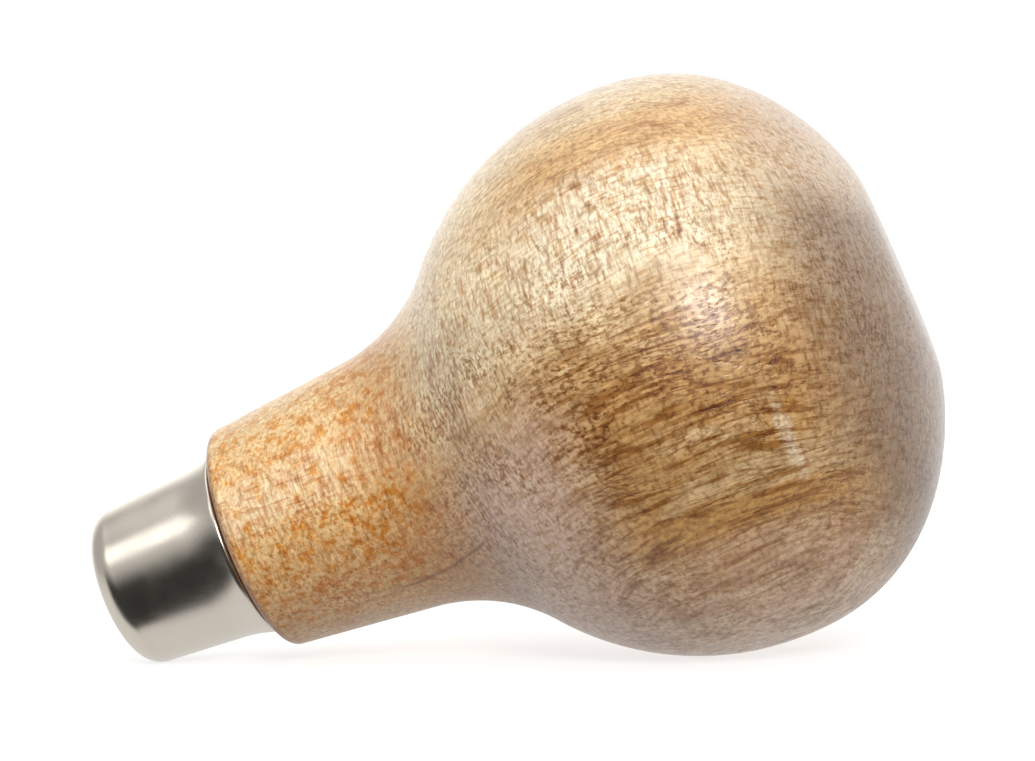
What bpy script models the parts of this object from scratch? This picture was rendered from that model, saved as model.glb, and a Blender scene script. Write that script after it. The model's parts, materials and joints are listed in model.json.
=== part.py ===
"""Palm tool handle: a turned wooden bulb with a drawn metal ferrule on its neck.

It lies on its side, on the bulb and on the ferrule's rim. Both pieces are turned about one axis,
which runs from the flat on the butt to the end of the ferrule.
"""

import math

import bmesh
import bpy
import numpy as np
from mathutils import Vector

MM = 0.001
SEGMENTS = 32
WELD = 0.00001

# Heights run along the axis from the flat on the butt, in millimetres, and radii from the axis.
BULB_RADIUS = 22.4
BULB_HEIGHT = 17.3
BUTT_DOME = 18.25
BUTT_POWER = 2.3
BUTT_TILT = math.radians(1.4)
FRONT_DOME = 22.2
FILLET_RADIUS = 13.8
NECK_END_RADIUS = 9.0
NECK_TAPER = 0.1
SHOULDER_HEIGHT = 54.8
SHOULDER_ROUND = 0.9

FERRULE_GAP = 0.3
FERRULE_MOUTH = SHOULDER_HEIGHT + FERRULE_GAP
FERRULE_END = 66.5
FERRULE_WALL = 0.8
FERRULE_END_RADIUS = 6.38
FERRULE_TAPER = 0.07
FERRULE_ROUND = 2.0
FLARE_LENGTH = 3.2
FLARE_RADIUS = 10.5
FERRULE_HOLE = 3.0

TENON_END = FERRULE_END - FERRULE_WALL - FERRULE_GAP
TENON_ROUND = FERRULE_ROUND - FERRULE_WALL
TANG_RADIUS = 2.0
TANG_DEPTH = 30.0
DRILL_POINT = math.radians(59.0)

HANDLE_WOOD = ((0.55, 0.36, 0.17, 1.0), 0.35, 0.0)
FERRULE_NICKEL = ((0.62, 0.60, 0.56, 1.0), 0.3, 1.0)


def arc(height, radius, size, start, end, count):
    """Points (radius, height) of a round stretch: 0 points away from the axis, 90 along it."""
    angles = np.radians(np.linspace(start, end, count))
    return [(radius + size * math.cos(a), height + size * math.sin(a)) for a in angles]


def neck_radius(height):
    return NECK_END_RADIUS + NECK_TAPER * (SHOULDER_HEIGHT - height)


def neck_fillet():
    """The fillet's centre (radius, height) and where it meets the front dome.

    The fillet touches the neck's straight taper and the dome, which is an ellipse.
    """
    slope = math.atan(NECK_TAPER)
    angles = np.linspace(0, math.pi / 2, 2001)
    dome_radii = BULB_RADIUS * np.cos(angles)
    dome_heights = BULB_HEIGHT + FRONT_DOME * np.sin(angles)
    low, high = BULB_HEIGHT + FRONT_DOME / 2, SHOULDER_HEIGHT
    for _ in range(40):
        middle = (low + high) / 2
        height = middle + FILLET_RADIUS * math.sin(slope)
        radius = neck_radius(middle) + FILLET_RADIUS * math.cos(slope)
        reach = np.hypot(dome_radii - radius, dome_heights - height)
        if reach.min() > FILLET_RADIUS:
            high = middle
        else:
            low = middle
    return radius, height, angles[reach.argmin()]


def butt_outline(count):
    """The butt's dome, from the bulb's widest circle down to its pole below the flat."""
    points = []
    for angle in np.linspace(0, math.pi / 2, count):
        drop = BUTT_DOME * math.sin(angle)
        radius = BULB_RADIUS * math.sqrt(1 - math.sin(angle) ** BUTT_POWER)
        points.append((radius, BULB_HEIGHT - drop))
    points[-1] = (0.0, BULB_HEIGHT - BUTT_DOME)
    return points


def bulb_outline():
    """The bulb and neck, from the shoulder's edge down to the pole of the butt."""
    slope = math.degrees(math.atan(NECK_TAPER))
    fillet_radius, fillet_height, meeting = neck_fillet()
    dome_radius = BULB_RADIUS * math.cos(meeting)
    dome_height = BULB_HEIGHT + FRONT_DOME * math.sin(meeting)
    last = math.degrees(math.atan2(dome_height - fillet_height, dome_radius - fillet_radius)) % 360
    edge = neck_radius(SHOULDER_HEIGHT - SHOULDER_ROUND) - SHOULDER_ROUND
    shoulder = arc(SHOULDER_HEIGHT - SHOULDER_ROUND, edge, SHOULDER_ROUND, 90, slope, 5)
    fillet = arc(fillet_height, fillet_radius, FILLET_RADIUS, 180 + slope, last, 9)
    front = [
        (BULB_RADIUS * math.cos(a), BULB_HEIGHT + FRONT_DOME * math.sin(a))
        for a in np.linspace(meeting, 0, 12)[1:-1]
    ]
    return shoulder + fillet + front + butt_outline(18)


def ferrule_radius(height):
    """The ferrule's outer radius on its straight taper and on the flare at its mouth."""
    flare = max(FERRULE_MOUTH + FLARE_LENGTH - height, 0)
    widening = FLARE_RADIUS - math.sqrt(FLARE_RADIUS**2 - flare**2)
    return FERRULE_END_RADIUS + FERRULE_TAPER * (FERRULE_END - height) + widening


def tenon_radius(height):
    return ferrule_radius(height) - FERRULE_WALL - FERRULE_GAP


def wall_heights():
    """Heights along the ferrule's wall, from its rounded corner down to its mouth."""
    straight = FERRULE_MOUTH + FLARE_LENGTH
    return [FERRULE_END - FERRULE_ROUND, *np.linspace(straight, FERRULE_MOUTH, 5)]


def tenon_outline():
    """The tang bore from its drilled point up, then the tenon's end and side down to the shoulder."""
    bore_end = TENON_END - TANG_DEPTH
    bore_point = bore_end - TANG_RADIUS / math.tan(DRILL_POINT)
    corner = TENON_END - TENON_ROUND
    edge = tenon_radius(corner) - TENON_ROUND
    bore = [(0.0, bore_point), (TANG_RADIUS, bore_end), (TANG_RADIUS, TENON_END)]
    side = [(tenon_radius(h), h) for h in wall_heights()[1:]]
    foot = (tenon_radius(FERRULE_MOUTH), SHOULDER_HEIGHT)
    return bore + arc(corner, edge, TENON_ROUND, 90, 0, 5) + side + [foot]


def ferrule_outline():
    """A closed loop: over the end and down the outside, then up the inside to the hole."""
    corner = FERRULE_END - FERRULE_ROUND
    edge = ferrule_radius(corner) - FERRULE_ROUND
    over = arc(corner, edge, FERRULE_ROUND, 90, 0, 7)
    inside_round = FERRULE_ROUND - FERRULE_WALL
    under = arc(corner, edge, inside_round, 0, 90, 5)
    outside = [(ferrule_radius(h), h) for h in wall_heights()[1:]]
    inside = [(ferrule_radius(h) - FERRULE_WALL, h) for h in reversed(wall_heights()[1:])]
    hole = [(FERRULE_HOLE, FERRULE_END - FERRULE_WALL), (FERRULE_HOLE, FERRULE_END)]
    return over + outside + inside + under + hole


def turned(name, outline, closed, collection, axis):
    """An outline of (radius, height) in millimetres, turned about the axis by a Screw modifier."""
    mesh = bpy.data.meshes.new(name)
    count = len(outline)
    edges = [(i, i + 1) for i in range(count - 1)] + ([(count - 1, 0)] if closed else [])
    mesh.from_pydata([(r * MM, 0, h * MM) for r, h in outline], edges, [])
    piece = bpy.data.objects.new(name, mesh)
    collection.objects.link(piece)
    piece.parent = axis
    piece.rotation_euler.z = math.pi / SEGMENTS
    screw = piece.modifiers.new("turned", "SCREW")
    screw.axis = "Z"
    screw.steps = screw.render_steps = SEGMENTS
    screw.use_merge_vertices = True
    screw.merge_threshold = WELD
    screw.use_smooth_shade = True
    return piece


def material(name, look):
    """A Principled material from its colour, roughness and metallic value."""
    colour, roughness, metallic = look
    made = bpy.data.materials.new(name)
    made.use_nodes = True
    shader = made.node_tree.nodes["Principled BSDF"]
    shader.inputs["Base Color"].default_value = colour
    shader.inputs["Roughness"].default_value = roughness
    shader.inputs["Metallic"].default_value = metallic
    made.diffuse_color = colour
    return made


def flatten_butt(handle, cutters, axis):
    """Cuts the pole off the butt with a plane that leans towards the upper side of the bulb."""
    side = 2 * BULB_RADIUS * MM
    mesh = bpy.data.meshes.new("butt_cutter")
    block = bmesh.new()
    bmesh.ops.create_cube(block, size=side)
    bmesh.ops.translate(block, verts=block.verts, vec=(0, 0, -side / 2))
    block.to_mesh(mesh)
    block.free()
    cutter = bpy.data.objects.new("butt_cutter", mesh)
    cutters.objects.link(cutter)
    cutter.parent = axis
    cutter.rotation_euler.y = -BUTT_TILT
    cutter.hide_render = True
    cutter.display_type = "WIRE"
    cut = handle.modifiers.new("butt_flat", "BOOLEAN")
    cut.operation = "DIFFERENCE"
    cut.solver = "EXACT"
    cut.object = cutter


def lying_tilt():
    """How far the axis dips towards the ferrule when the bulb and the ferrule both touch down.

    The line under both pieces is the shallowest of the steepest lines from each ferrule point.
    """
    ferrule = [(r, h) for r, h in ferrule_outline() if r > FERRULE_HOLE]
    slopes = [max((br - r) / (h - bh) for br, bh in bulb_outline()) for r, h in ferrule]
    return math.atan(min(slopes) * math.cos(math.pi / SEGMENTS))


def lay_down(pieces, axis):
    """Tilts the axis and moves it, so the origin is under the middle of the part's box."""
    axis.rotation_euler.y = -(math.pi / 2 + lying_tilt())
    bpy.context.view_layer.update()
    graph = bpy.context.evaluated_depsgraph_get()
    points = []
    for piece in pieces:
        evaluated = piece.evaluated_get(graph)
        points += [evaluated.matrix_world @ v.co for v in evaluated.data.vertices]
    low, high = np.min(points, axis=0), np.max(points, axis=0)
    axis.location = -Vector(((low[0] + high[0]) / 2, (low[1] + high[1]) / 2, low[2]))


def new_collection(name):
    made = bpy.data.collections.new(name)
    bpy.context.scene.collection.children.link(made)
    return made


def main():
    for old in list(bpy.data.objects):
        bpy.data.objects.remove(old, do_unlink=True)
    parts = new_collection("palm_tool_handle")
    cutters = new_collection("cutters")
    axis = bpy.data.objects.new("handle_axis", None)
    parts.objects.link(axis)

    handle = turned("bulb_handle", tenon_outline() + bulb_outline(), False, parts, axis)
    handle.data.materials.append(material("handle_wood", HANDLE_WOOD))
    flatten_butt(handle, cutters, axis)
    ferrule = turned("ferrule", ferrule_outline(), True, parts, axis)
    ferrule.data.materials.append(material("ferrule_nickel", FERRULE_NICKEL))
    lay_down([handle, ferrule], axis)


main()
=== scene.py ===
import json
import math

import bpy
import numpy as np
from mathutils import Euler, Matrix, Quaternion, Vector


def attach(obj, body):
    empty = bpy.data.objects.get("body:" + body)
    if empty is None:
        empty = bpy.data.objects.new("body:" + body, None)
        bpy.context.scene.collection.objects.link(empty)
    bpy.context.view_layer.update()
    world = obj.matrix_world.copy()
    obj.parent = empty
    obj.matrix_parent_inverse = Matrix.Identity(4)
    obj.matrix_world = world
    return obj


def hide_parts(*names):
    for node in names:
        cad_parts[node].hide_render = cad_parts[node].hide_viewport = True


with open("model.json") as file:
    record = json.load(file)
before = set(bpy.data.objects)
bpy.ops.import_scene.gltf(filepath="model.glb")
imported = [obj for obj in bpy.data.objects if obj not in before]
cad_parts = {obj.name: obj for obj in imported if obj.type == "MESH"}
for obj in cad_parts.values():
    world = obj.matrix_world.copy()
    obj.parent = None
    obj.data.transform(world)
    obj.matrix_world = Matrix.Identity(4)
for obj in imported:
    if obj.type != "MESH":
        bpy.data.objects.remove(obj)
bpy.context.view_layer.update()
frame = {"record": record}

# Sizes are in millimetres in the handle's own frame: heights run along the turning axis from the
# flat on the butt towards the ferrule, and radii from the axis.
MM = 0.001
BULB_RADIUS = 22.4
BULB_HEIGHT = 17.3
BUTT_DOME = 18.25
BUTT_POWER = 2.3
BUTT_TILT = math.radians(1.4)
BUTT_EDGE_ROUND = 0.35
FRONT_DOME = 22.2
FILLET_RADIUS = 13.8
NECK_END_RADIUS = 9.0
NECK_TAPER = 0.1
SHOULDER_HEIGHT = 54.8
SHOULDER_ROUND = 0.9
FERRULE_GAP = 0.3
FERRULE_MOUTH = SHOULDER_HEIGHT + FERRULE_GAP
FERRULE_END = 66.5
FERRULE_WALL = 0.8
FERRULE_END_RADIUS = 6.38
FERRULE_TAPER = 0.07
FERRULE_ROUND = 2.0
FLARE_LENGTH = 3.2
FLARE_RADIUS = 10.5
FERRULE_HOLE = 3.0
LIP_ROUND = 0.25
TENON_END = FERRULE_END - FERRULE_WALL - FERRULE_GAP
TENON_ROUND = FERRULE_ROUND - FERRULE_WALL
TANG_RADIUS = 2.0
TANG_DEPTH = 30.0
DRILL_POINT = math.radians(59.0)

# How finely outlines are drawn and turned, and where shading stays sharp.
SEGMENTS = 256
SHOULDER_POINTS = 12
NECK_POINTS = 24
FILLET_POINTS = 32
FRONT_POINTS = 48
BUTT_POINTS = 80
TENON_CORNER_POINTS = 8
WALL_POINTS = 16
FLARE_POINTS = 14
OUTER_CORNER_POINTS = 24
INNER_CORNER_POINTS = 12
LIP_POINTS = 7
HOLE_EDGE_POINTS = 5
MEETING_SAMPLES = 4001
MEETING_HALVINGS = 40
SHARP_ANGLE = math.radians(40)

# The camera's place and aim in the handle's frame, in millimetres.
CAMERA_PLACE = Vector((-4.0, -230.0, -4.5))
CAMERA_AIM = Vector((3.87, 0.0, 30.6))
CAMERA_ROLL = math.radians(-1.84)

# Where the tree's pith ran, beside the turning axis: growth rings circle it and rays point at it.
PITH_UP = 43.0
PITH_FRONT = 1.8


def mount(name):
    """A mount's place and direction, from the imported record."""
    found = next(m for m in frame["record"]["mounts"] if m["name"] == name)
    return Vector(found["pos_m"]), Vector(found["axis"])


butt_middle, _ = mount("butt_flat")
_, axis_out = mount("ferrule_end")
handle_turn = Euler((0, math.atan2(axis_out.x, axis_out.z), 0))
handle_place = Matrix.Translation(butt_middle) @ handle_turn.to_matrix().to_4x4()


# Outlines -----------------------------------------------------------------------------------------

def arc(height, radius, size, start, end, count):
    """Points (radius, height) of a round stretch: 0 points away from the axis, 90 along it."""
    angles = np.radians(np.linspace(start, end, count))
    return [(radius + size * math.cos(a), height + size * math.sin(a)) for a in angles]


def neck_radius(height):
    return NECK_END_RADIUS + NECK_TAPER * (SHOULDER_HEIGHT - height)


def neck_fillet():
    """The fillet's centre (radius, height) and where it meets the front dome."""
    slope = math.atan(NECK_TAPER)
    angles = np.linspace(0, math.pi / 2, MEETING_SAMPLES)
    dome_radii = BULB_RADIUS * np.cos(angles)
    dome_heights = BULB_HEIGHT + FRONT_DOME * np.sin(angles)
    low, high = BULB_HEIGHT + FRONT_DOME / 2, SHOULDER_HEIGHT
    for _ in range(MEETING_HALVINGS):
        middle = (low + high) / 2
        height = middle + FILLET_RADIUS * math.sin(slope)
        radius = neck_radius(middle) + FILLET_RADIUS * math.cos(slope)
        reach = np.hypot(dome_radii - radius, dome_heights - height)
        if reach.min() > FILLET_RADIUS:
            high = middle
        else:
            low = middle
    return radius, height, angles[reach.argmin()]


def butt_outline():
    """The butt's dome, from the bulb's widest circle down to its pole below the flat."""
    points = []
    for angle in np.linspace(0, math.pi / 2, BUTT_POINTS):
        drop = BUTT_DOME * math.sin(angle)
        radius = BULB_RADIUS * math.sqrt(max(1 - math.sin(angle) ** BUTT_POWER, 0))
        points.append((radius, BULB_HEIGHT - drop))
    points[-1] = (0.0, BULB_HEIGHT - BUTT_DOME)
    return points


def bulb_outline():
    """The bulb and neck, from the shoulder's edge down to the pole of the butt."""
    slope = math.degrees(math.atan(NECK_TAPER))
    fillet_radius, fillet_height, meeting = neck_fillet()
    dome_radius = BULB_RADIUS * math.cos(meeting)
    dome_height = BULB_HEIGHT + FRONT_DOME * math.sin(meeting)
    last = math.degrees(math.atan2(dome_height - fillet_height, dome_radius - fillet_radius)) % 360
    edge = neck_radius(SHOULDER_HEIGHT - SHOULDER_ROUND) - SHOULDER_ROUND
    shoulder_low = SHOULDER_HEIGHT - SHOULDER_ROUND
    shoulder = arc(shoulder_low, edge, SHOULDER_ROUND, 90, slope, SHOULDER_POINTS)
    fillet = arc(fillet_height, fillet_radius, FILLET_RADIUS, 180 + slope, last, FILLET_POINTS)
    top, bottom = shoulder[-1][1], fillet[0][1]
    neck = [(neck_radius(h), h) for h in np.linspace(top, bottom, NECK_POINTS)[1:-1]]
    front = [
        (BULB_RADIUS * math.cos(a), BULB_HEIGHT + FRONT_DOME * math.sin(a))
        for a in np.linspace(meeting, 0, FRONT_POINTS)[1:-1]
    ]
    return shoulder + neck + fillet + front + butt_outline()


def ferrule_radius(height):
    """The ferrule's outer radius on its straight taper and on the flare at its mouth."""
    flare = max(FERRULE_MOUTH + FLARE_LENGTH - height, 0)
    widening = FLARE_RADIUS - math.sqrt(FLARE_RADIUS**2 - flare**2)
    return FERRULE_END_RADIUS + FERRULE_TAPER * (FERRULE_END - height) + widening


def tenon_radius(height):
    return ferrule_radius(height) - FERRULE_WALL - FERRULE_GAP


def wall_heights(last):
    """Heights along the ferrule's wall, from its rounded corner down towards its mouth."""
    straight = FERRULE_MOUTH + FLARE_LENGTH
    upper = np.linspace(FERRULE_END - FERRULE_ROUND, straight, WALL_POINTS)[1:]
    return [*upper, *np.linspace(straight, last, FLARE_POINTS)[1:]]


def tenon_outline():
    """The tang bore from its drilled point up, then the tenon's end and side to the shoulder."""
    bore_end = TENON_END - TANG_DEPTH
    bore_point = bore_end - TANG_RADIUS / math.tan(DRILL_POINT)
    corner = TENON_END - TENON_ROUND
    edge = tenon_radius(corner) - TENON_ROUND
    bore = [(0.0, bore_point), (TANG_RADIUS, bore_end), (TANG_RADIUS, TENON_END)]
    side = [(tenon_radius(h), h) for h in wall_heights(FERRULE_MOUTH)]
    foot = (tenon_radius(FERRULE_MOUTH), SHOULDER_HEIGHT)
    end = arc(corner, edge, TENON_ROUND, 90, 0, TENON_CORNER_POINTS)
    return bore + end + side + [foot]


def ferrule_outline():
    """A closed loop: over the end and down the outside, round the lip, then up the inside."""
    corner = FERRULE_END - FERRULE_ROUND
    edge = ferrule_radius(corner) - FERRULE_ROUND
    over = arc(corner, edge, FERRULE_ROUND, 90, 0, OUTER_CORNER_POINTS)
    under = arc(corner, edge, FERRULE_ROUND - FERRULE_WALL, 0, 90, INNER_CORNER_POINTS)
    lip = FERRULE_MOUTH + LIP_ROUND
    outside = [(ferrule_radius(h), h) for h in wall_heights(lip)]
    inside = [(ferrule_radius(h) - FERRULE_WALL, h) for h in reversed(wall_heights(lip))]
    outer, inner = ferrule_radius(lip), ferrule_radius(lip) - FERRULE_WALL
    outer_lip = arc(lip, outer - LIP_ROUND, LIP_ROUND, 0, -90, LIP_POINTS)
    inner_lip = arc(lip, inner + LIP_ROUND, LIP_ROUND, -90, -180, LIP_POINTS)
    hole_low, hole_high = FERRULE_END - FERRULE_WALL, FERRULE_END
    hole_edge = FERRULE_HOLE + LIP_ROUND
    hole = arc(hole_low + LIP_ROUND, hole_edge, LIP_ROUND, 270, 180, HOLE_EDGE_POINTS)
    hole += arc(hole_high - LIP_ROUND, hole_edge, LIP_ROUND, 180, 90, HOLE_EDGE_POINTS)
    return over + outside + outer_lip[1:] + inner_lip[:-1] + inside + under + hole


# Meshes -------------------------------------------------------------------------------------------

def turned(name, outline, closed, reshape=None):
    """Turns an outline of (radius, height) about the handle's axis, as one closed mesh.

    A point of the outline on the axis becomes a single vertex, with a fan of triangles round it.
    """
    turns = np.arange(SEGMENTS) * (2 * math.pi / SEGMENTS)
    points, rings = [], []
    for radius, height in outline:
        if radius == 0:
            rings.append([len(points)])
            points.append((0, 0, height))
        else:
            rings.append(list(range(len(points), len(points) + SEGMENTS)))
            points += [(radius * math.cos(t), radius * math.sin(t), height) for t in turns]
    faces = []
    pairs = list(zip(rings, rings[1:])) + ([(rings[-1], rings[0])] if closed else [])
    for upper, lower in pairs:
        for i in range(SEGMENTS):
            j = (i + 1) % SEGMENTS
            if len(upper) == 1:
                faces.append((upper[0], lower[i], lower[j]))
            elif len(lower) == 1:
                faces.append((upper[i], lower[0], upper[j]))
            else:
                faces.append((upper[i], lower[i], lower[j], upper[j]))
    points = [Vector(p) for p in points]
    if reshape:
        points = [reshape(p) for p in points]
    mesh = bpy.data.meshes.new(name)
    mesh.from_pydata([handle_place @ (p * MM) for p in points], [], faces)
    mesh.shade_smooth()
    mesh.set_sharp_from_angle(angle=SHARP_ANGLE)
    piece = bpy.data.objects.new(name, mesh)
    bpy.context.scene.collection.objects.link(piece)
    return piece


def sand_butt(point):
    """Presses the pole of the butt onto the sanded flat, with a softly rounded edge."""
    if point.z > BULB_HEIGHT / 2:
        return point
    out = Vector((math.sin(BUTT_TILT), 0, -math.cos(BUTT_TILT)))
    above = point.dot(out)
    smooth = (above + math.sqrt(above**2 + BUTT_EDGE_ROUND**2)) / 2
    return point - out * smooth


# Materials ----------------------------------------------------------------------------------------

class Graph:
    """Short ways to add nodes to a material or world. A value is a socket, a number or a colour."""

    def __init__(self, owner, shader):
        owner.use_nodes = True
        self.owner = owner
        self.nodes = owner.node_tree.nodes
        self.links = owner.node_tree.links
        self.shader = self.nodes[shader]

    def put(self, value, socket):
        if isinstance(value, bpy.types.NodeSocket):
            self.links.new(value, socket)
        else:
            socket.default_value = value

    def math(self, operation, a, b=0.0, c=0.0):
        node = self.nodes.new("ShaderNodeMath")
        node.operation = operation
        for value, socket in zip((a, b, c), node.inputs):
            self.put(value, socket)
        return node.outputs[0]

    def product(self, first, *others):
        for other in others:
            first = self.math("MULTIPLY", first, other)
        return first

    def away(self, value, middle):
        """How far a value is from a middle, either way."""
        return self.math("ABSOLUTE", self.math("SUBTRACT", value, middle))

    def span(self, value, low, high, start=0.0, end=1.0, smooth=True):
        """Maps low..high to start..end, and holds the ends."""
        node = self.nodes.new("ShaderNodeMapRange")
        node.interpolation_type = "SMOOTHSTEP" if smooth else "LINEAR"
        for value, socket in zip((value, low, high, start, end), node.inputs):
            self.put(value, socket)
        return node.outputs[0]

    def vector(self, x, y, z):
        node = self.nodes.new("ShaderNodeCombineXYZ")
        for value, socket in zip((x, y, z), node.inputs):
            self.put(value, socket)
        return node.outputs[0]

    def noise(self, vector, fineness, detail=2.0, roughness=0.5):
        """Noise with its own fineness, in cycles per unit, along each axis of the vector."""
        stretch = self.nodes.new("ShaderNodeVectorMath")
        stretch.operation = "MULTIPLY"
        self.put(vector, stretch.inputs[0])
        stretch.inputs[1].default_value = fineness
        node = self.nodes.new("ShaderNodeTexNoise")
        self.put(stretch.outputs[0], node.inputs["Vector"])
        node.inputs["Scale"].default_value = 1.0
        node.inputs["Detail"].default_value = detail
        node.inputs["Roughness"].default_value = roughness
        return node.outputs["Fac"]

    def ramp(self, value, stops):
        node = self.nodes.new("ShaderNodeValToRGB")
        self.put(value, node.inputs[0])
        elements = node.color_ramp.elements
        while len(elements) < len(stops):
            elements.new(0.5)
        for element, (position, colour) in zip(elements, stops):
            element.position = position
            element.color = (*colour, 1.0)
        return node.outputs["Color"]

    def mix(self, amount, a, b, blend="MIX"):
        node = self.nodes.new("ShaderNodeMix")
        node.data_type = "RGBA"
        node.blend_type = blend
        self.put(amount, node.inputs["Factor"])
        for value, socket in ((a, node.inputs[6]), (b, node.inputs[7])):
            self.put((*value, 1.0) if isinstance(value, tuple) else value, socket)
        return node.outputs[2]

    def bump(self, height, distance):
        node = self.nodes.new("ShaderNodeBump")
        node.inputs["Distance"].default_value = distance
        self.put(height, node.inputs["Height"])
        return node.outputs["Normal"]

    def handle_coordinates(self):
        """A point, and its x, y and z, in millimetres in the handle's frame."""
        place = self.nodes.new("ShaderNodeTexCoord").outputs["Object"]
        node = self.nodes.new("ShaderNodeMapping")
        node.vector_type = "TEXTURE"
        self.put(place, node.inputs["Vector"])
        node.inputs["Location"].default_value = butt_middle
        node.inputs["Rotation"].default_value = handle_turn
        node.inputs["Scale"].default_value = (MM, MM, MM)
        split = self.nodes.new("ShaderNodeSeparateXYZ")
        self.put(node.outputs[0], split.inputs[0])
        return node.outputs[0], split.outputs

    def handle_normal(self):
        """The surface's direction, along the handle's own x, y and z."""
        normal = self.nodes.new("ShaderNodeTexCoord").outputs["Normal"]
        parts = []
        for axis in handle_turn.to_matrix().col:
            node = self.nodes.new("ShaderNodeVectorMath")
            node.operation = "DOT_PRODUCT"
            self.put(normal, node.inputs[0])
            node.inputs[1].default_value = axis
            parts.append(node.outputs["Value"])
        return parts


def new_material(name):
    return Graph(bpy.data.materials.new(name), "Principled BSDF")


def srgb(red, green, blue):
    """A colour given as 0 to 255 screen values, as linear light."""
    return tuple(((c / 255 + 0.055) / 1.055) ** 2.4 for c in (red, green, blue))


# Wood ---------------------------------------------------------------------------------------------

# Colours across the tree's growth zones, by distance from the pith in millimetres.
GROWTH_ZONES = (
    (21.0, srgb(214, 198, 170)),
    (26.0, srgb(216, 190, 148)),
    (28.5, srgb(204, 166, 114)),
    (31.0, srgb(202, 164, 112)),
    (33.5, srgb(211, 184, 143)),
    (38.0, srgb(213, 194, 161)),
    (42.0, srgb(219, 194, 154)),
    (45.5, srgb(203, 168, 119)),
    (48.5, srgb(188, 148, 96)),
    (54.0, srgb(186, 147, 95)),
    (57.5, srgb(188, 142, 80)),
    (60.0, srgb(194, 156, 118)),
    (65.0, srgb(230, 200, 176)),
)

# Colours of places and stains, and of painted shade and reflection.
PATCH_TAN = srgb(196, 160, 112)
PATCH_PALE = srgb(226, 210, 178)
SHOULDER_CREAM = srgb(242, 224, 188)
# Greyish end grain on the fillet's underside, partly a painted reflection of the pale table.
FILLET_GREY_AND_TABLE_REFLECTION = srgb(214, 186, 170)
# Painted shade in the hollow under the neck's root.
ROOT_SHADE = srgb(150, 110, 80)
BUTT_LOW = srgb(138, 117, 101)
BUTT_HIGH = srgb(198, 176, 152)
NECK_HONEY = srgb(238, 200, 142)
RING_BROWN = srgb(178, 122, 66)
SCRAPE_PALE = srgb(226, 212, 186)
RAY_CREAM = srgb(255, 248, 224)

# What the figure, and the painted shade, multiply the colour under it by.
BLOTCH_DARK = (0.78, 0.7, 0.58)
BLOTCH_PALE = (1.14, 1.15, 1.14)
# Painted shade on the neck: darker on its underside and bottom, and its lit top dimmed.
NECK_UNDERSIDE_SHADE = (0.78, 0.7, 0.63)
NECK_BOTTOM_SHADE = (0.84, 0.8, 0.78)
NECK_TOP_SHADE = (0.86, 0.91, 0.96)
STREAK_DARK = (0.52, 0.34, 0.12)
LINE_DARK = (0.74, 0.6, 0.4)
VESSEL_DARK = (0.56, 0.4, 0.18)
VESSEL_NECK = (0.8, 0.52, 0.24)
RUST_ORANGE = (0.84, 0.53, 0.18)
RAY_FRAME = (0.68, 0.44, 0.26)
RAY_END_DARK = (0.64, 0.5, 0.36)
RAY_END_PALE = (1.2, 1.2, 1.18)
FIBRE_DARK = (0.54, 0.38, 0.23)
FIBRE_NECK = (0.78, 0.54, 0.3)
FIBRE_PALE = (1.15, 1.15, 1.16)
# Painted shade on the neck's end, in the gap beside the ferrule.
NECK_END_SHADE = (0.5, 0.3, 0.18)
GROWTH_LINE_DARK = (0.55, 0.45, 0.38)

# Fineness of stains, in cycles per millimetre across and along the handle.
WAVER = (0.09, 0.09, 0.06)
PATCHES = (0.16, 0.16, 0.08)
BLOTCHES = (0.5, 0.5, 0.32)

# Fineness of the figure, in cycles per millimetre out from the pith, round it and along the grain.
LAYERS = (1.0, 0.07, 0.045)
STREAKS = (2.6, 0.7, 0.2)
LINES = (3.4, 1.2, 0.12)
VESSELS = (2.9, 2.9, 0.36)
CROWDS = (0.3, 0.3, 0.14)
RUST = (1.1, 1.1, 0.9)
RAY_BLOCKS = (0.7, 1.4, 1.0)
RAY_POSTS = (0.6, 1.5, 3.8)
RAY_RAILS = (3.8, 1.5, 0.55)
RAY_ENDS = (0.5, 3.0, 3.4)
FIBRES_ALONG = (3.6, 3.6, 1.7)
FIBRES_STEEP = (2.2, 4.0, 4.2)

# Where parts of the handle begin, by height: nothing at the first value, all at the second.
PALE_SHOULDER_START = (20.0, 30.0)
FILLET_START = (22.0, 30.0)
ROOT_START = (32.0, 36.0)
NECK_START = (34.0, 41.0)
SIDE_START = (3.0, 10.0)
SIDE_STOP = (31.0, 24.0)
BULB_BLOCKS_START = (9.0, 14.0)
BULB_BLOCKS_STOP = (26.0, 21.0)
NECK_BLOCKS_START = (42.0, 46.0)
LINE_START = (34.5, 36.5)
LINE_STOP = (46.0, 42.0)

# The same, by distance from the pith.
UPPER_START = (40.0, 34.0)
LOWER_START = (43.0, 50.0)
LOW_ROOT_START = (47.0, 53.0)
SIDE_INNER = (41.0, 46.0)
SIDE_OUTER = (64.0, 56.0)

# Where dark fibres are thickest, by distance from the pith.
PEPPER_MIDDLE = 45.0

# How far the middle of the radial face lies off the rays' own direction, as a sine.
RAY_LEAN = 0.05

# Sizes in millimetres: how far growth rings wander, and how deep a growth zone's layers go.
RING_WANDER = 3.0
LAYER_DEPTH = 7.0

# The stained ring at the neck's root, by height, and the dark growth line there, by distance from
# the pith. The scrape's middle and half sizes, by the handle's x and z.
STAIN_RING = 39.5
STAIN_RING_REACH = 6.0
GROWTH_LINE = 51.0
SCRAPE_MIDDLE = (-7.4, 11.2)
SCRAPE_HALF_SIZE = (3.0, 0.55)

WOOD_BUMP = 0.000015
WOOD_ROUGHNESS = (0.31, 0.39)
WOOD_SPECULAR = 0.62
WOOD_SHEEN = 0.24
WOOD_SHEEN_ROUGHNESS = 0.35


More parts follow.
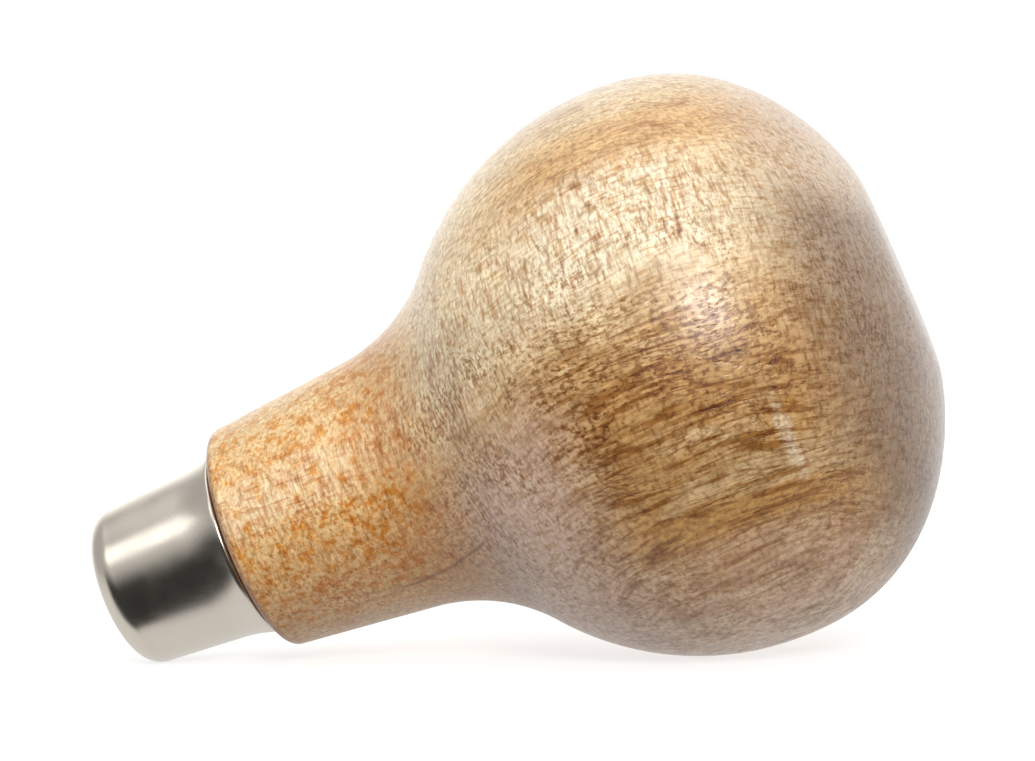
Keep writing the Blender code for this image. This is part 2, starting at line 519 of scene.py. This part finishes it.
class Wood(Graph):
    """The handle's wood. Each layer of its figure and of painted shade changes the colour that the
    last one left.
    """

    def __init__(self):
        super().__init__(bpy.data.materials.new("turned_wood"), "Principled BSDF")
        self.place, (self.x, self.y, self.z) = self.handle_coordinates()
        self.nx, self.ny, self.nz = self.handle_normal()
        self.measure_growth()
        self.measure_cut()
        self.find_places()
        self.colour = self.growth_zones()
        for layer in (self.stains, self.parts, self.neck_stains_and_shade, self.streaks, self.scrape,
                      self.vessels, self.rust, self.rays, self.fibres, self.edges):
            layer()
        self.surface()

    def stain(self, amount, colour):
        """Covers the colour, as far as the amount says."""
        self.colour = self.mix(amount, self.colour, colour)

    def tint(self, amount, factors):
        """Multiplies the colour by the factors, as far as the amount says."""
        tinted = self.mix(1.0, self.colour, factors, "MULTIPLY")
        self.colour = self.mix(amount, self.colour, tinted)

    def figure(self, fineness, detail=2.0, roughness=0.6):
        """Noise that follows the tree's growth."""
        return self.noise(self.growth, fineness, detail, roughness)

    def measure_growth(self):
        """The growth frame: distance from the pith, distance round it, and height up the grain."""
        waver = self.noise(self.place, WAVER, 1.0)
        across = self.math("SUBTRACT", PITH_UP, self.x)
        aside = self.math("ADD", self.y, PITH_FRONT)
        squares = [self.product(part, part) for part in (across, aside)]
        radial = self.math("SQRT", self.math("ADD", *squares))
        self.radial = self.math("ADD", radial,
                                self.math("MULTIPLY_ADD", waver, RING_WANDER, -RING_WANDER / 2))
        tangential = self.product(self.math("ARCTAN2", aside, across), PITH_UP)
        tangential = self.math("MULTIPLY_ADD", waver, RING_WANDER / 2, tangential)
        self.growth = self.vector(self.radial, tangential, self.z)
        self.across, self.aside = across, aside

    def measure_cut(self):
        """How the surface cuts the wood: 1 on a radial face, and 1 on faces across the grain."""
        outward = self.math("SUBTRACT", self.product(self.aside, self.ny),
                            self.product(self.across, self.nx))
        outward = self.math("DIVIDE", outward, self.radial)
        cut = self.math("ABSOLUTE", self.math("ADD", outward, RAY_LEAN))
        self.quarter = self.product(self.span(cut, 0.32, 0.12), self.span(self.nz, -0.75, -0.35))
        self.butt_grain = self.span(self.nz, -0.4, -0.85)
        self.fore_grain = self.span(self.nz, 0.3, 0.75)

    def find_places(self):
        """Parts of the handle, by height along it and by distance from the pith."""
        self.neck = self.span(self.z, *NECK_START)
        self.upper = self.span(self.radial, *UPPER_START)
        self.lower = self.span(self.radial, *LOWER_START)
        self.below_line = self.span(self.radial, GROWTH_LINE - 0.5, GROWTH_LINE + 1.5)
        self.side = self.product(
            self.span(self.radial, *SIDE_INNER), self.span(self.radial, *SIDE_OUTER),
            self.span(self.z, *SIDE_START), self.span(self.z, *SIDE_STOP))
        self.crowd = self.span(self.figure(CROWDS, roughness=0.5), 0.36, 0.62, 0.35, 1.25)

    def growth_zones(self):
        """Growth zones, with thin uneven layers in them."""
        layer = self.figure(LAYERS, 3.0)
        shift = self.math("MULTIPLY_ADD", layer, LAYER_DEPTH, -LAYER_DEPTH / 2)
        low, high = GROWTH_ZONES[0][0], GROWTH_ZONES[-1][0]
        zone = self.span(self.math("ADD", self.radial, shift), low, high, smooth=False)
        return self.ramp(zone, [((r - low) / (high - low), colour) for r, colour in GROWTH_ZONES])

    def stains(self):
        """Broad patches and small blotches, darker and paler."""
        patch = self.noise(self.place, PATCHES)
        self.stain(self.span(patch, 0.5, 0.7, 0, 0.3), PATCH_TAN)
        self.stain(self.span(patch, 0.46, 0.3, 0, 0.3), PATCH_PALE)
        blotch = self.noise(self.place, BLOTCHES, 3.0, 0.6)
        self.tint(self.span(blotch, 0.5, 0.66, 0, 0.7), BLOTCH_DARK)
        self.tint(self.span(blotch, 0.5, 0.36, 0, 0.7), BLOTCH_PALE)

    def parts(self):
        """The pale shoulder, the greyish fillet underside with a painted reflection of the table,
        painted shade in the hollow under the neck's root, and the grey butt.
        """
        shoulder = self.product(self.span(self.z, *PALE_SHOULDER_START), self.upper)
        self.stain(self.product(shoulder, 0.75), SHOULDER_CREAM)
        # Greyish end grain on the fillet's underside, partly a painted reflection of the pale table
        # below.
        fillet = self.product(self.span(self.z, *FILLET_START), self.lower)
        self.stain(self.product(fillet, 0.75), FILLET_GREY_AND_TABLE_REFLECTION)
        # Painted shade in the hollow where the neck's underside meets the bulb.
        root = self.product(self.span(self.z, *ROOT_START), self.span(self.radial, *LOW_ROOT_START))
        self.stain(self.product(root, 0.45), ROOT_SHADE)
        self.stain(self.product(self.butt_grain, 0.85), self.mix(self.upper, BUTT_LOW, BUTT_HIGH))

    def neck_stains_and_shade(self):
        """The honey-coloured neck with a stained ring at its root, and painted shade: darker on its
        underside and its lit top dimmed.
        """
        self.stain(self.product(self.neck, 0.8), NECK_HONEY)
        above_line = self.math("SUBTRACT", self.lower, self.product(self.lower, self.below_line))
        # Painted shade: the neck's underside and bottom darker, its lit top dimmed.
        self.tint(self.product(self.neck, above_line), NECK_UNDERSIDE_SHADE)
        self.tint(self.product(self.neck, self.below_line), NECK_BOTTOM_SHADE)
        self.tint(self.product(self.neck, self.upper), NECK_TOP_SHADE)
        ring = self.span(self.away(self.z, STAIN_RING), STAIN_RING_REACH, 0.0, 0, 0.42)
        self.stain(ring, RING_BROWN)

    def streaks(self):
        """Dark layers seen as long streaks where a growth ring runs out of the surface."""
        self.streak = self.figure(STREAKS, 3.0, 0.65)
        self.tint(self.product(self.span(self.streak, 0.47, 0.62), self.side, 0.9), STREAK_DARK)
        line = self.span(self.figure(LINES), 0.5, 0.64)
        self.tint(self.product(line, self.span(self.neck, 0, 1, 0.8, 0.3)), LINE_DARK)

    def scrape(self):
        """A small pale scrape on the near side of the bulb, broken up by the streaks."""
        reach = self.math("MULTIPLY_ADD", self.streak, 5.0, -2.6)
        for value, middle, half in zip((self.x, self.z), SCRAPE_MIDDLE, SCRAPE_HALF_SIZE):
            part = self.math("MULTIPLY_ADD", value, 1 / half, -middle / half)
            reach = self.math("ADD", reach, self.product(part, part))
        near_side = self.span(self.ny, 0.0, -0.4)
        self.stain(self.product(self.span(reach, 1.2, 0.0, 0, 0.5), near_side), SCRAPE_PALE)

    def vessels(self):
        """Fine dark tubes along the grain, and dots where they are cut across."""
        self.vessel_depth = self.span(self.figure(VESSELS), 0.57, 0.66)
        strength = self.math("SUBTRACT", self.math("MULTIPLY_ADD", self.side, 0.3, 0.5),
                             self.product(self.neck, 0.15))
        self.tint(self.product(self.vessel_depth, strength, self.crowd),
                  self.mix(self.neck, VESSEL_DARK, VESSEL_NECK))

    def rust(self):
        """Rust-coloured flecks on the neck, weaker below the growth line."""
        fleck = self.span(self.figure(RUST, 4.0, 0.72), 0.46, 0.62)
        self.tint(self.product(fleck, self.neck, self.span(self.below_line, 0, 1, 1.0, 0.4)),
                  RUST_ORANGE)

    def rays(self):
        """Rays: cream blocks framed by short brown lines on a radial face, and steep flecks."""
        bulb_blocks = self.product(self.span(self.z, *BULB_BLOCKS_START),
                                   self.span(self.z, *BULB_BLOCKS_STOP))
        neck_blocks = self.span(self.z, *NECK_BLOCKS_START)
        blocks = self.product(self.quarter, self.math("MAXIMUM", bulb_blocks, neck_blocks))
        cream = self.span(self.figure(RAY_BLOCKS, 1.0, 0.5), 0.3, 0.52)
        face = self.math("MULTIPLY_ADD", blocks, 0.32, self.product(self.quarter, 0.15))
        self.stain(self.product(cream, self.span(self.neck, 0, 1, 1.0, 0.6), face), RAY_CREAM)
        post = self.span(self.figure(RAY_POSTS, 1.0, 0.5), 0.55, 0.65)
        framed = self.product(self.quarter, self.span(self.neck, 0, 1, 0.5, 0.4))
        self.tint(self.product(post, self.math("ADD", framed, 0.15)), RAY_FRAME)
        rail = self.span(self.figure(RAY_RAILS, 1.0, 0.5), 0.56, 0.66)
        self.tint(self.product(rail, self.math("MULTIPLY_ADD", blocks, 0.55, 0.15)), RAY_FRAME)
        ray_end = self.figure(RAY_ENDS)
        self.tint(self.span(ray_end, 0.53, 0.66, 0, 0.7), RAY_END_DARK)
        self.tint(self.span(ray_end, 0.45, 0.34, 0, 0.7), RAY_END_PALE)

    def fibres(self):
        """A fine mottle of dark and pale fibres, along the grain or steep to it by the cut."""
        turn = self.product(self.neck, 0.9)
        for cut in (self.fore_grain, self.butt_grain, self.quarter):
            turn = self.math("MAXIMUM", turn, cut)
        self.fibre = self.span(turn, 0, 1, self.figure(FIBRES_ALONG), self.figure(FIBRES_STEEP),
                               smooth=False)
        pepper = self.product(self.span(self.away(self.radial, PEPPER_MIDDLE), 10.0, 2.0, 0.4, 1.0),
                              self.crowd, self.span(self.nz, -0.25, -0.6, 1, 0.55))
        self.tint(self.product(self.span(self.fibre, 0.5, 0.62), pepper),
                  self.mix(self.neck, FIBRE_DARK, FIBRE_NECK))
        self.tint(self.span(self.fibre, 0.5, 0.38), FIBRE_PALE)

    def edges(self):
        """Painted shade on the edge of the neck's end, in the gap beside the ferrule, and one dark
        growth line under the neck's root.
        """
        # Painted shade on the neck's rounded end, beside the ferrule.
        end = self.span(self.z, SHOULDER_HEIGHT - SHOULDER_ROUND, SHOULDER_HEIGHT - 0.1)
        self.tint(self.product(end, 0.8), NECK_END_SHADE)
        line = self.product(self.span(self.away(self.radial, GROWTH_LINE), 0.17, 0.05),
                            self.span(self.z, *LINE_START), self.span(self.z, *LINE_STOP, 0, 0.85))
        self.tint(line, GROWTH_LINE_DARK)

    def surface(self):
        """A satin finish: fibres stand a little proud, and vessels are open."""
        inputs = self.shader.inputs
        self.put(self.colour, inputs["Base Color"])
        height = self.math("MULTIPLY_ADD", self.vessel_depth, -1.0, self.product(self.fibre, 0.8))
        self.put(self.bump(height, WOOD_BUMP), inputs["Normal"])
        self.put(self.span(self.fibre, 0.3, 0.7, *WOOD_ROUGHNESS), inputs["Roughness"])
        inputs["Specular IOR Level"].default_value = WOOD_SPECULAR
        inputs["Sheen Weight"].default_value = WOOD_SHEEN
        inputs["Sheen Roughness"].default_value = WOOD_SHEEN_ROUGHNESS


# Metal --------------------------------------------------------------------------------------------

NICKEL_WARM = srgb(222, 213, 199)
NICKEL_PALE = srgb(229, 221, 208)
NICKEL_ROUGHNESS = (0.2, 0.28)
NICKEL_BUMP = 0.000004

# Fineness of the plate's marks, in cycles per millimetre across and along the handle.
CLOUDS = (0.35, 0.35, 0.35)
GRIT = (9.0, 9.0, 9.0)
SCRATCHES = (0.6, 0.6, 14.0)


def nickel_material():
    """Satin nickel plate, a little clouded, with fine grit and scratches round the ferrule."""
    g = new_material("satin_nickel")
    place, _ = g.handle_coordinates()
    cloud = g.noise(place, CLOUDS, 3.0)
    grit = g.noise(place, GRIT, 3.0, 0.7)
    scratch = g.noise(place, SCRATCHES, 2.0, 0.6)
    g.put(g.mix(cloud, NICKEL_WARM, NICKEL_PALE), g.shader.inputs["Base Color"])
    g.put(g.span(cloud, 0.3, 0.7, *NICKEL_ROUGHNESS), g.shader.inputs["Roughness"])
    height = g.math("MULTIPLY_ADD", grit, 0.6, g.product(scratch, 0.4))
    g.put(g.bump(height, NICKEL_BUMP), g.shader.inputs["Normal"])
    g.shader.inputs["Metallic"].default_value = 1.0
    return g.owner


# Stage --------------------------------------------------------------------------------------------

# How bright the surroundings are, by direction. The front is where the camera stands.
FRONT_BELOW = 0.03
LEFT_FRONT = 0.67
RIGHT_FRONT = 0.7
BEHIND = 1.5
LEFT_SIDE = 0.49
RIGHT_SIDE = 0.45
LEFT_UNDER = 0.78
RIGHT_UNDER = 0.7
OVERHEAD = 1.4
FLOOR_PAINT = 0.4
FLOOR_GLOW = 0.72
FLOOR_REACH = 3.0

# Name, place, width, power and aim of each softbox, in metres and watts in the shared frame.
SOFTBOXES = (
    ("left_softbox", (-0.33, -0.28, 0.3), 0.18, 0.12, (-0.03, 0, 0.012)),
    ("front_softbox", (0.097, -0.355, 0.184), 0.13, 1.14, (0.0155, 0, 0.0225)),
)

# The lens and sensor in millimetres, and how near and far the camera sees in metres.
LENS = 104.35
SENSOR_WIDTH = 36.0
NEAR, FAR = 0.01, 10


def floor():
    """A pale, glowing table that neither lights the object nor shows in its reflections.

    What lights the object's underside is the surroundings.
    """
    mesh = bpy.data.meshes.new("floor")
    far = FLOOR_REACH
    corners = [(-far, -far, 0), (far, -far, 0), (far, far, 0), (-far, far, 0)]
    mesh.from_pydata(corners, [], [(0, 1, 2, 3)])
    table = bpy.data.objects.new("floor", mesh)
    bpy.context.scene.collection.objects.link(table)
    g = new_material("floor_paint")
    g.shader.inputs["Base Color"].default_value = (FLOOR_PAINT, FLOOR_PAINT, FLOOR_PAINT, 1.0)
    g.shader.inputs["Roughness"].default_value = 1.0
    g.shader.inputs["Specular IOR Level"].default_value = 0.0
    g.shader.inputs["Emission Color"].default_value = (1.0, 1.0, 1.0, 1.0)
    g.shader.inputs["Emission Strength"].default_value = FLOOR_GLOW
    mesh.materials.append(g.owner)
    table.visible_diffuse = False
    table.visible_glossy = False
    table.visible_shadow = False


def surroundings():
    """Bright behind and overhead, grey in front, at the sides and below, and dark low in front.

    The camera sees plain white, whatever the level.
    """
    world = bpy.data.worlds.new("surroundings")
    bpy.context.scene.world = world
    g = Graph(world, "Background")
    split = g.nodes.new("ShaderNodeSeparateXYZ")
    g.put(g.nodes.new("ShaderNodeTexCoord").outputs["Generated"], split.inputs[0])
    x, y, z = split.outputs
    side = g.span(x, -0.7, 0.7)
    front = g.span(z, -0.12, 0.4, FRONT_BELOW, g.span(side, 0, 1, LEFT_FRONT, RIGHT_FRONT))
    back = g.span(y, 0.4, 0.9, g.span(side, 0, 1, LEFT_SIDE, RIGHT_SIDE), BEHIND)
    under = g.span(side, 0, 1, LEFT_UNDER, RIGHT_UNDER)
    back = g.span(z, -0.3, 0.1, under, back)
    level = g.span(y, -0.5, -0.36, front, back)
    level = g.span(z, 0.65, 0.95, level, OVERHEAD)
    seen = g.nodes.new("ShaderNodeLightPath").outputs["Is Camera Ray"]
    g.put(g.span(seen, 0, 1, level, 1.0, smooth=False), g.shader.inputs["Strength"])
    g.shader.inputs["Color"].default_value = (1.0, 1.0, 1.0, 1.0)


def softbox(name, place, width, power, aim):
    lamp = bpy.data.lights.new(name, "AREA")
    lamp.shape = "RECTANGLE"
    lamp.size, lamp.size_y = width, width
    lamp.energy = power
    box = bpy.data.objects.new(name, lamp)
    box.location = place
    box.rotation_euler = (Vector(place) - Vector(aim)).to_track_quat("Z", "Y").to_euler()
    bpy.context.scene.collection.objects.link(box)


def studio():
    bpy.context.scene.view_settings.view_transform = "Standard"
    floor()
    surroundings()
    for settings in SOFTBOXES:
        softbox(*settings)


def camera():
    """A long lens that looks nearly level across the table, with the frame tipped a little."""
    lens = bpy.data.cameras.new("camera")
    lens.sensor_width = SENSOR_WIDTH
    lens.lens = LENS
    lens.clip_start, lens.clip_end = NEAR, FAR
    cam = bpy.data.objects.new("camera", lens)
    bpy.context.scene.collection.objects.link(cam)
    bpy.context.scene.camera = cam
    cam.location = handle_place @ (CAMERA_PLACE * MM)
    aim = handle_place @ (CAMERA_AIM * MM)
    look = (aim - cam.location).to_track_quat("-Z", "Y")
    cam.rotation_mode = "QUATERNION"
    cam.rotation_quaternion = look @ Quaternion((0, 0, 1), CAMERA_ROLL)


def main():
    studio()
    camera()
    handle = turned("wooden_handle", tenon_outline() + bulb_outline(), False, sand_butt)
    handle.data.materials.append(Wood().owner)
    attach(handle, "root")
    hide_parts("bulb_handle")
    ferrule = turned("nickel_ferrule", ferrule_outline(), True)
    ferrule.data.materials.append(nickel_material())
    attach(ferrule, "root")
    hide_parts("ferrule")


main()
